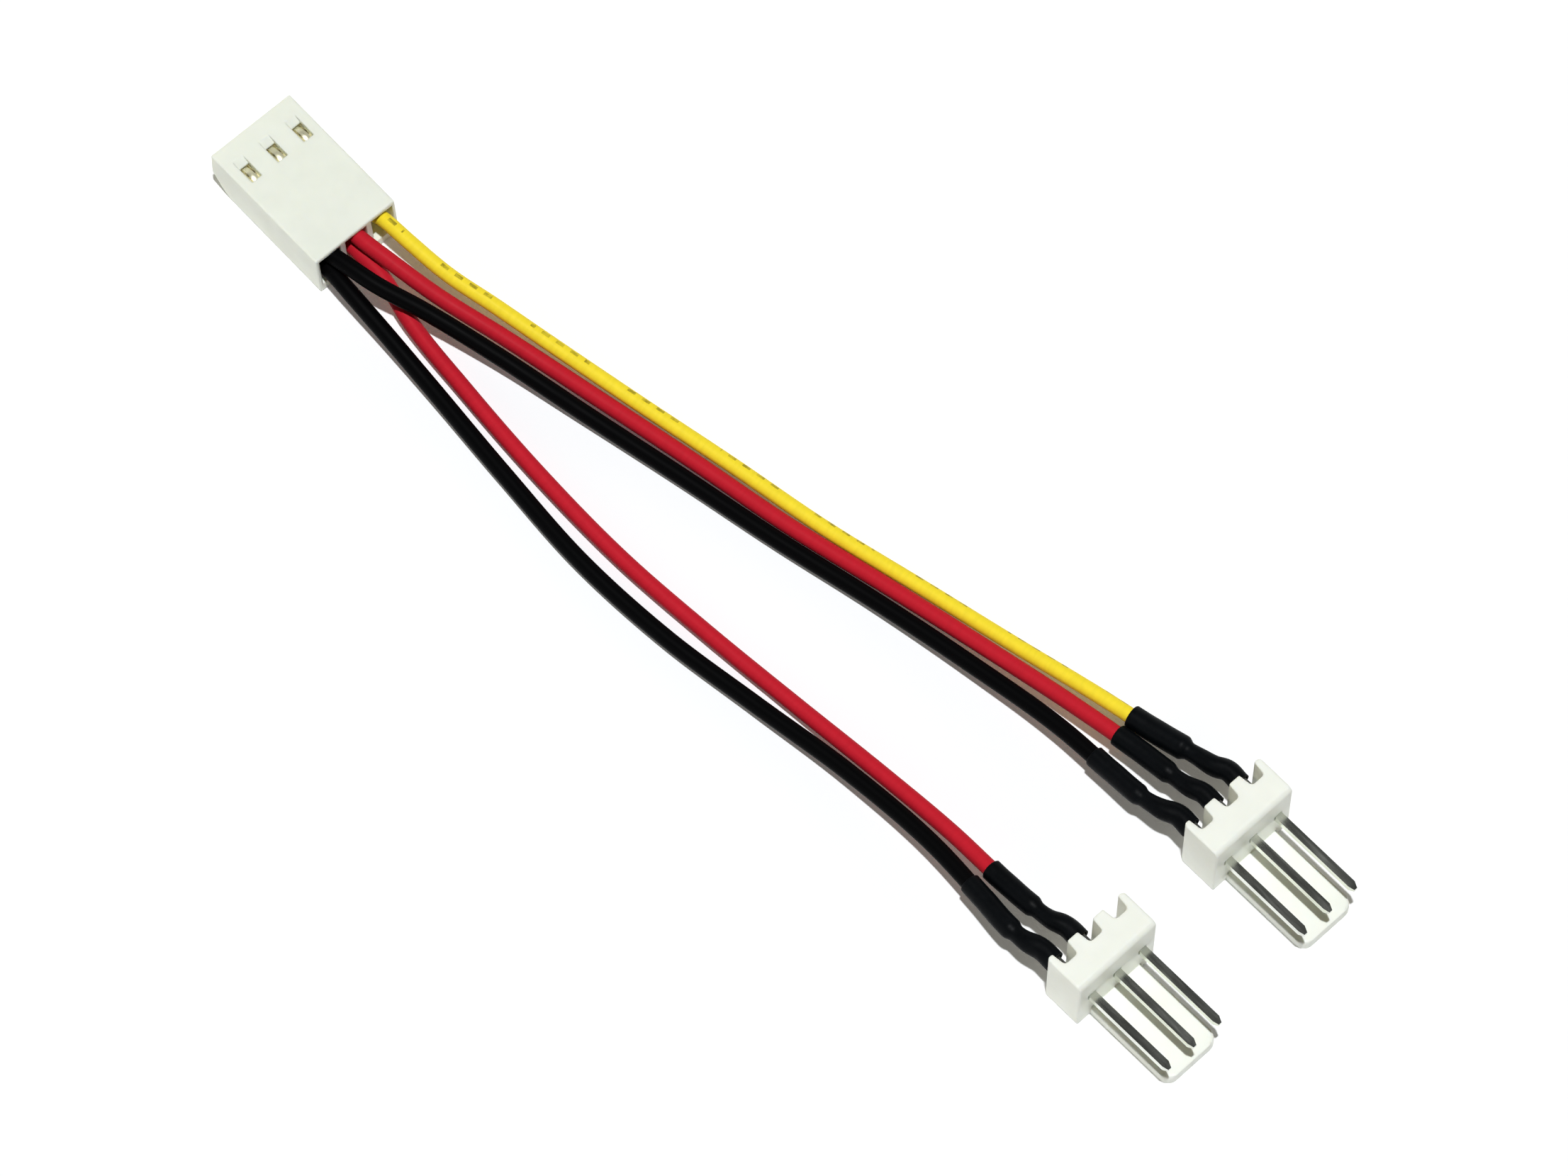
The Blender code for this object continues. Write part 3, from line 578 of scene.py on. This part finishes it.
def ring_at(line, distance, radius, sides):
    """Ring points across the line. radius is a number or a function of the angle."""
    spot, along = point_along(line, distance)
    across = along.cross(Vector((0, 0, 1))).normalized()
    up = across.cross(along)
    ring = []
    for i in range(sides):
        a = 2 * math.pi * i / sides
        reach = radius(a) if callable(radius) else radius
        ring.append(spot + (across * math.cos(a) + up * math.sin(a)) * reach)
    return ring


def tube_object(name, rings, lengths, closed_ends, material):
    """A tube through rings. Its UV map is in millimetres along it and shares of the way round."""
    data = bmesh.new()
    uv = data.loops.layers.uv.new("UVMap")
    loops = [[data.verts.new(p * MM) for p in ring] for ring in rings]
    sides = len(rings[0])
    for one, two, s1, s2 in zip(loops, loops[1:], lengths, lengths[1:]):
        for i in range(sides):
            j = (i + 1) % sides
            face = data.faces.new((one[i], one[j], two[j], two[i]))
            marks = ((s1, i), (s1, i + 1), (s2, i + 1), (s2, i))
            for loop, (s, k) in zip(face.loops, marks):
                loop[uv].uv = (s, k / sides)
    if closed_ends:
        data.faces.new(loops[0])
        data.faces.new(loops[-1])
    return smooth_object(name, data, material, 50)


def make_wire(wire, node, material):
    """The insulated wire, up to where it is stripped inside its sleeve."""
    line = smooth_line(route_points(wire))
    end = line_length(line) - SLEEVES[wire][1] - FIT
    stations = even_steps(end, round(end / TUBE_STEP))
    radius = wire_radius(wire)
    swell = radius * (WIRE_SWELL[colour_of(wire)] - 1)
    rings = [
        ring_at(line, s, radius + swell * min(1.0, s / SWELL_RUN, (end - s) / SWELL_RUN), TUBE_SIDES)
        for s in stations]
    obj = tube_object(f"{node}_cover", rings, stations, True, material)
    path = [point_along(line, s)[0] * MM for s in stations]
    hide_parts(node)
    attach(obj, "root")


def sleeve_profile(wire):
    """Outer radius at distances from the sleeve's mouth."""
    length, bare = SLEEVES[wire]
    slack = SLEEVE_SLACK[colour_of(wire)]
    wide = (wire_radius(wire) + FIT) / math.cos(math.pi / SOLID_SLEEVE_SIDES) + slack + SLEEVE_WALL
    shoulder = length - bare
    return (
        (0.0, wide), (shoulder, wide), (shoulder + SHOULDER_RUN, SLEEVE_NECK + SLEEVE_WALL),
        (length - BULGE_BACK, SLEEVE_BULGE + SLEEVE_WALL), (length, SLEEVE_TAIL + SLEEVE_WALL))


def eased(profile, distance):
    """Radius between the profile's points, with smooth turns."""
    for (s1, r1), (s2, r2) in zip(profile, profile[1:]):
        if distance <= s2:
            t = (distance - s1) / (s2 - s1)
            return r1 + (r2 - r1) * t * t * (3 - 2 * t)
    return profile[-1][1]


def make_sleeve(wire, node, material, phase):
    """A heat-shrink sleeve with a lip at its mouth, closed round the pin at its tail."""
    line = smooth_line(route_points(wire))
    length, bare = SLEEVES[wire]
    start = line_length(line) - length
    profile = sleeve_profile(wire)

    def shape(s):
        base = eased(profile, s)
        crush = CRUSH_MOUTH + CRUSH_GROWTH * max(0.0, min(1.0, (s - length + bare) / CRUSH_RUN))
        return lambda a: (
            base + crush * math.sin(2 * a + phase + s * 0.5) + 0.3 * crush * math.sin(5 * a + 3 * s))

    mouth = profile[0][1]
    hole = mouth - SLEEVE_WALL
    tail = profile[-1][1] - SLEEVE_WALL
    # Distance from the mouth, radius, and the length written to the UV map
    stations = [
        (SKIN_INSIDE, hole - FIT, -SKIN_INSIDE), (0.0, hole, -0.2), (0.0, mouth - SKIN_LIP, -0.05),
        (SKIN_LIP, shape(0.0), 0.0)]
    stations += [(s, shape(s), s) for s in even_steps(length, round(length / SKIN_STEP))[1:]]
    stations += [
        (length, tail, length + 0.2), (length - SKIN_FOLD, tail, length + 0.3),
        (length - SKIN_FOLD, FIT, length + 0.6)]
    rings = [ring_at(line, start + s, radius, SKIN_SIDES) for s, radius, _ in stations]
    obj = tube_object(f"{node}_skin", rings, [mark for _, _, mark in stations], False, material)
    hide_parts(node)
    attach(obj, "root")


def make_crown(circuit, material):
    """The locking lance's sprung crown, seen in the socket's window."""
    data = bmesh.new()
    top = []
    for t in even_steps(1, LANCE_STEPS):
        x = SOCKET_PLACE[0] + LANCE_START + LANCE_LENGTH * t
        crest = LANCE_BASE + LANCE_RISE * math.sin(math.radians(LANCE_BOW * t))
        row = []
        for j in range(LANCE_ACROSS + 1):
            v = 2 * j / LANCE_ACROSS - 1
            y = SOCKET_PLACE[1] + side_of(circuit) + v * LANCE_WIDTH / 2
            row.append(data.verts.new(Vector((x, y, crest - LANCE_CROWN * v * v)) * MM))
        top.append(row)
    low = [[data.verts.new(Vector((v.co.x, v.co.y, LANCE_FOOT * MM))) for v in row] for row in top]
    for i in range(LANCE_STEPS):
        for j in range(LANCE_ACROSS):
            data.faces.new((top[i][j], top[i + 1][j], top[i + 1][j + 1], top[i][j + 1]))
            data.faces.new((low[i][j], low[i][j + 1], low[i + 1][j + 1], low[i + 1][j]))
    rim = [(i, 0) for i in range(LANCE_STEPS)] + [(LANCE_STEPS, j) for j in range(LANCE_ACROSS)]
    rim += [(i, LANCE_ACROSS) for i in range(LANCE_STEPS, 0, -1)]
    rim += [(0, j) for j in range(LANCE_ACROSS, 0, -1)]
    for (i, j), (k, m) in zip(rim, rim[1:] + rim[:1]):
        data.faces.new((top[i][j], low[i][j], low[k][m], top[k][m]))
    obj = smooth_object(f"lance_crown_{circuit}", data, material, 60)
    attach(obj, "root")


# Everything together

make_camera()
make_sun("key", seen_from(*KEY_FROM), KEY_LEVEL, KEY_SOFTNESS, KEY_COLOUR)
make_sun("fill", seen_from(*FILL_FROM), FILL_LEVEL, FILL_SOFTNESS, FILL_COLOUR)
make_world()
make_floor()

for index, wire in enumerate(WIRES):
    colour, _, letter = wire.partition("_")
    end = f"_{letter}" if letter else ""
    vinyl = insulation(f"vinyl_{wire}", *VINYLS[colour], printed=colour == "yellow")
    make_wire(wire, f"{colour}_wire{end}", vinyl)
    make_sleeve(wire, f"{colour}_sleeve{end}", shrink_sleeve(f"shrink_{wire}"), index * CRUSH_PHASE)
    dress(f"{colour}_joint{end}", metal("solder", wire))

dress("socket_housing", nylon("ivory_moulding", IVORY, IVORY_DEPTH))
for circuit in (1, 2, 3):
    dress(f"socket_terminal_{circuit}", metal("terminal", circuit))
    make_crown(circuit, metal("lance", circuit))
    dress(f"crimped_core_{circuit}", metal("strand", circuit))
for plug in PLUGS:
    dress(f"plug_{plug}_body", nylon(f"white_moulding_{plug}", WHITE, WHITE_DEPTH))
    for circuit in (1, 2, 3):
        dress(f"plug_{plug}_pin_{circuit}", metal("pin", f"{plug}{circuit}"))

bpy.context.scene.view_settings.view_transform = "Standard"
